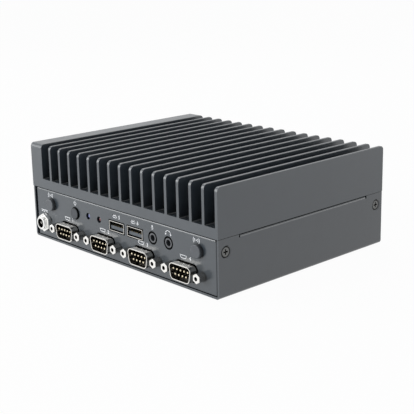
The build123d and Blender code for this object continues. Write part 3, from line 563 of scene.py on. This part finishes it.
def dress_ports():
    dress(shell_plate("drawn_nickel"), *numbered("serial_shell", SERIAL_PORTS))
    dress(jack_plate("hex_nickel"), "jack_screws")
    folded = nickel(
        "folded_nickel", FOLDED_NICKEL, roughness=0.22, reach_mm=2.5, darkest=0.1, end=0.7,
    )
    turned = nickel(
        "turned_nickel", TURNED_NICKEL, roughness=0.14, reach_mm=1.0, darkest=0.4, end=0.4,
    )
    barrel = nickel(
        "barrel_nickel", TURNED_NICKEL, roughness=0.14, reach_mm=4.5, darkest=0.01, end=0.8,
    )
    dress(folded.material, *numbered("usb_shell", USB_PORTS),
          *numbered("network_shell", NETWORK_PORTS), "video_shell")
    dress(turned.material, "dc_nut", "dc_washer")
    dress(barrel.material, "dc_inlet", "dc_inlet_pin")
    dress(pin_plate("pin_gold"), "serial_pins")
    insulator = moulded("serial_plastic", SERIAL_PLASTIC, roughness=0.4)
    dress(insulator, *numbered("serial_insulator", SERIAL_PORTS))
    dress(moulded("tongue_plastic", TONGUE_PLASTIC, roughness=0.32), "usb_tongues")
    cover = rubber("plug_rubber", PLUG_RUBBER, roughness=0.45)
    dress(cover, "antenna_plug_left", "antenna_plug_right")
    dress(lens("lens_blue", LENS_BLUE), "led_power")
    dress(lens("lens_red", LENS_RED), "led_disk")


def dress_row():
    # The button and the audio sockets stand at one height, and the rims of their ends get painted
    # shade
    end = middle("power_button")
    cap = moulded(
        "button_plastic", BUTTON_PLASTIC, roughness=0.2, end=end, radius_mm=CAP_RADIUS, level=0.15,
    )
    dress(cap, "power_button")
    for name in ("audio_jack_left", "audio_jack_right"):
        nose = moulded(
            "plastic_of_" + name, AUDIO_PLASTIC, roughness=0.35, end=(middle(name)[0], *end[1:]),
            radius_mm=NOSE_RADIUS, level=0.05,
        )
        dress(nose, name)


def dress_inside():
    dress(steel("plain_steel", PLAIN_STEEL, roughness=0.32), "panel_screws", "block_screws",
          "board_screws", "base_inserts", "clock_battery")
    dress(gold("turned_brass", BRASS), "board_posts", "storage_post")
    dress(steel("milled_aluminium", MILLED_ALUMINIUM, roughness=0.28), "heat_block")
    dress(moulded("black_plastic", BLACK_PLASTIC), "power_switch", "link_header", "link_socket",
          "memory_socket", "storage_socket", "battery_holder", "video_tongue", "processor",
          *numbered("network_insert", NETWORK_PORTS))
    dress(moulded("plunger_plastic", PLUNGER_PLASTIC, roughness=0.4), "switch_plunger")
    dress(circuit_board("board_lacquer"), "main_board", "io_board", "memory_module",
          "storage_module")
    dress(rubber("thermal_grey", PAD_GREY), "thermal_pad")


def add_piece(name, bm, material):
    bmesh.ops.recalc_face_normals(bm, faces=bm.faces)
    mesh = bpy.data.meshes.new(name)
    bm.to_mesh(mesh)
    bm.free()
    mesh.materials.append(material)
    piece = bpy.data.objects.new(name, mesh)
    bpy.context.scene.collection.objects.link(piece)
    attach(piece, "case")


# Spring contacts, in millimetres: where they stand across the port, their width and thickness, and
# their profile as depth behind the port's face and height over its middle
USB_CONTACTS = {
    "places": (-3.5, -1.0, 1.0, 3.5), "width": 1.1, "thickness": 0.15,
    "profile": ((0.9, 0.05), (1.2, 0.2), (2.6, 0.6), (4.0, 0.2), (8.0, 0.12)),
}
NETWORK_CONTACTS = {
    "places": [(n - 3.5) * 1.02 for n in range(8)], "width": 0.45, "thickness": 0.35,
    "profile": ((1.4, 3.7), (7.5, 1.7), (9.5, 1.3), (12.6, 1.5)),
}


def spring_contacts(name, port, outward, material, places, width, thickness, profile):
    # Row of bent metal strips
    outline = list(profile) + [(depth, z + thickness) for depth, z in reversed(profile)]
    last = len(outline) - 1
    bm = bmesh.new()
    for x in places:
        left, right = [
            [bm.verts.new(port + Vector((edge, -outward * depth, z)) * MM) for depth, z in outline]
            for edge in (x - width / 2, x + width / 2)
        ]
        for n in range(len(outline)):
            after = (n + 1) % len(outline)
            bm.faces.new((left[n], left[after], right[after], right[n]))
        for n in range(len(profile) - 1):
            for side in (left, right):
                bm.faces.new((side[n], side[n + 1], side[last - n - 1], side[last - n]))
    add_piece(name, bm, material)


def make_contacts():
    contact_gold = gold("contact_gold", CONTACT_GOLD)
    for number in range(1, USB_PORTS + 1):
        shell = f"usb_shell_{number}"
        x, y, z = middle(shell)
        outward, face = (-1, front_of(shell)) if y < CASE_Y else (1, rear_of(shell))
        port = Vector((x, face, z))
        spring_contacts(f"usb_contacts_{number}", port, outward, contact_gold, **USB_CONTACTS)
    for number in range(1, NETWORK_PORTS + 1):
        shell = f"network_shell_{number}"
        x, _, z = middle(shell)
        port = Vector((x, rear_of(shell), z))
        spring_contacts(f"network_contacts_{number}", port, 1, contact_gold, **NETWORK_CONTACTS)


# Thread of the inlet's barrel, in millimetres, with the steps in a turn and the space at its front
THREAD_RADIUS = 3.98
THREAD_HEIGHT = 0.2
THREAD_PITCH = 0.75
THREAD_STEPS = 40
THREAD_END = 0.4


def make_barrel_thread():
    # Helical ridge round the inlet's barrel in front of its nut, fading over its last quarter turns
    start = front_of("dc_nut") / MM
    front = front_of("dc_inlet") / MM + THREAD_END
    x, _, z = middle("dc_nut")
    count = int((start - front - THREAD_PITCH / 2) / THREAD_PITCH * THREAD_STEPS)
    run_out = THREAD_STEPS / 4
    bm = bmesh.new()
    rings = []
    for n in range(count + 1):
        angle = 2 * math.pi * n / THREAD_STEPS
        y = start - THREAD_PITCH * n / THREAD_STEPS
        height = THREAD_HEIGHT * min(n, count - n, run_out) / run_out
        section = (
            (THREAD_RADIUS, 0),
            (THREAD_RADIUS + height, -THREAD_PITCH / 4),
            (THREAD_RADIUS, -THREAD_PITCH / 2),
        )
        along, up = math.cos(angle) * MM, math.sin(angle) * MM
        rings.append([
            bm.verts.new((x + r * along, (y + dy) * MM, z + r * up)) for r, dy in section
        ])
    for a, b in zip(rings, rings[1:]):
        for n in range(3):
            after = (n + 1) % 3
            bm.faces.new((a[n], a[after], b[after], b[n]))
    bm.faces.new(rings[0])
    bm.faces.new(rings[-1])
    add_piece("barrel_thread", bm, nodes["dc_nut"].data.materials[0])


# Print on the front panel, in millimetres: its thickness, its height and the usual width of a line
PRINT_THICKNESS = 0.03
PRINT_HEIGHT = 2.0
PRINT_STROKE = 0.42

# A figure's height as a share of the font's size, its added boldness as a share of its height, and
# the steps in its curves
FIGURE_SHARE = 0.7
FIGURE_BOLD = 0.04
FIGURE_STEPS = 4


class Drawing:
    """Flat shapes on the front panel: x runs to the right and z up, both in millimetres."""

    def __init__(self, name, x, z):
        self.name = name
        self.origin = Vector((x, PANEL_Y, z))
        self.outlines = []

    def bar(self, start, end, width=PRINT_STROKE):
        (x0, z0), (x1, z1) = start, end
        length = math.hypot(x1 - x0, z1 - z0)
        nx, nz = -(z1 - z0) / length * width / 2, (x1 - x0) / length * width / 2
        corners = [(x0 + nx, z0 + nz), (x1 + nx, z1 + nz), (x1 - nx, z1 - nz), (x0 - nx, z0 - nz)]
        self.outlines.append(corners)

    def disc(self, center, radius, steps=20):
        angles = [2 * math.pi * n / steps for n in range(steps)]
        self.outlines.append([self.on_circle(center, radius, angle) for angle in angles])

    def arc(self, center, radius, start, end, steps, width=PRINT_STROKE):
        # Band along a circle, between two angles in degrees
        angles = [math.radians(start + (end - start) * n / steps) for n in range(steps + 1)]
        inner, outer = radius - width / 2, radius + width / 2
        for a, b in zip(angles, angles[1:]):
            corners = ((inner, a), (outer, a), (outer, b), (inner, b))
            self.outlines.append([self.on_circle(center, r, angle) for r, angle in corners])

    @staticmethod
    def on_circle(center, radius, angle):
        return center[0] + radius * math.cos(angle), center[1] + radius * math.sin(angle)

    def figure(self, number, x):
        curve = bpy.data.curves.new(self.name + "_text", "FONT")
        curve.body = str(number)
        curve.size = PRINT_HEIGHT / FIGURE_SHARE
        curve.align_x = "CENTER"
        curve.offset = FIGURE_BOLD * PRINT_HEIGHT
        curve.resolution_u = FIGURE_STEPS
        helper = bpy.data.objects.new(self.name + "_text", curve)
        bpy.context.scene.collection.objects.link(helper)
        bpy.context.view_layer.update()
        graph = bpy.context.evaluated_depsgraph_get()
        flat = bpy.data.meshes.new_from_object(helper.evaluated_get(graph))
        for face in flat.polygons:
            points = [flat.vertices[v].co for v in face.vertices]
            self.outlines.append([(x + point.x, point.y) for point in points])
        bpy.data.objects.remove(helper)
        bpy.data.meshes.remove(flat)

    def finish(self, material):
        bm = bmesh.new()
        for outline in self.outlines:
            for depth in (0, PRINT_THICKNESS):
                points = [self.origin + Vector((x, -depth, z)) * MM for x, z in outline]
                bm.faces.new([bm.verts.new(point) for point in points])
        add_piece(self.name, bm, material)


def mark_over(name, node, x_mm, z_mm):
    # Drawing that starts that far to the right of the node's middle and above it
    x, _, z = middle(node)
    return Drawing(name, x + x_mm * MM, z + z_mm * MM)


def serial_mark(number):
    # Outline of the port with its number beside it
    mark = mark_over(f"print_serial_{number}", f"serial_shell_{number}", -0.1, 6.35)
    center, half, slant = -2.1, 2.2, 0.35
    low, high = PRINT_STROKE / 2, PRINT_HEIGHT - PRINT_STROKE / 2
    corners = [
        (center - half - slant, high), (center + half + slant, high),
        (center + half - slant, low), (center - half + slant, low),
    ]
    for a, b in zip(corners, corners[1:] + corners[:1]):
        mark.bar(a, b)
        mark.disc(a, PRINT_STROKE / 2, 10)
    mark.figure(number, 3.1)
    return mark


def usb_mark(number):
    # Outline of the port with its tongue at the top, and a number that follows the serial ports'
    mark = mark_over(f"print_usb_{number}", f"usb_shell_{number}", -0.3, 5.0)
    left, right, inset = -2.9, 0.9, 0.2
    tongue, thickness = 1.5, 0.8
    for z in (inset, PRINT_HEIGHT - inset):
        mark.bar((left, z), (right, z))
    for x in (left + inset, right - inset):
        mark.bar((x, 0), (x, PRINT_HEIGHT))
    mark.bar((left, tongue), (right, tongue), thickness)
    mark.figure(SERIAL_PORTS + number, 2.9)
    return mark


def antenna_mark(plug_node):
    # Dot with waves to both sides
    mark = mark_over("print_" + plug_node, plug_node, -1.2, 5.4)
    mark.disc((0, 0), 0.4)
    for radius in (1.3, 2.3):
        mark.arc((0, 0), radius, -38, 38, 8)
        mark.arc((0, 0), radius, 142, 218, 8)
    return mark


def power_mark():
    # Ring with a bar in its gap
    mark = mark_over("print_power", "power_button", 0, 6.0)
    mark.arc((0, 0), 1.0, 125, 415, 20)
    mark.bar((0, 0.2), (0, 1.5))
    return mark


def inlet_mark():
    # Straight line over a broken one, for direct current
    mark = mark_over("print_inlet", "dc_nut", -1.6, 6.05)
    mark.bar((-3.2, 1.1), (3.2, 1.1))
    for start in (-3.2, -0.8, 1.6):
        mark.bar((start, 0.2), (start + 1.6, 0.2))
    return mark


def mark_over_audio(name, node, z_mm):
    # The socket's box also holds its hidden body, so the drawing starts from the box's top
    return Drawing(name, middle(node)[0], top_of(node) + z_mm * MM)


def microphone_mark():
    mark = mark_over_audio("print_microphone", "audio_jack_left", 2.6)
    mark.arc((0, 0.9), 0.28, 0, 180, 8, 0.56)
    mark.bar((0, 0.1), (0, 0.9), 0.9)
    mark.arc((0, 0.3), 0.8, 180, 360, 12, 0.24)
    mark.bar((0, -0.5), (0, -1.0), 0.26)
    mark.bar((-0.5, -1.0), (0.5, -1.0), 0.26)
    return mark


def headphones_mark():
    mark = mark_over_audio("print_headphones", "audio_jack_right", 2.2)
    mark.arc((0, -0.6), 2.1, 10, 170, 20, 0.36)
    mark.bar((-2.1, -0.9), (-1.9, 0.1), 0.95)
    mark.bar((2.1, -0.9), (1.9, 0.1), 0.95)
    return mark


def make_print():
    marks = [serial_mark(number) for number in range(1, SERIAL_PORTS + 1)]
    marks += [usb_mark(number) for number in range(1, FRONT_USB_PORTS + 1)]
    marks += [antenna_mark(name) for name in ("antenna_plug_left", "antenna_plug_right")]
    marks += [power_mark(), inlet_mark(), microphone_mark(), headphones_mark()]
    white = ink("print_white")
    for mark in marks:
        mark.finish(white)


make_camera()
make_world()
make_light()
make_floor()
dress_case()
dress_ports()
dress_row()
dress_inside()
make_contacts()
make_barrel_thread()
make_print()

bpy.context.scene.view_settings.view_transform = "Standard"
bpy.context.view_layer.update()
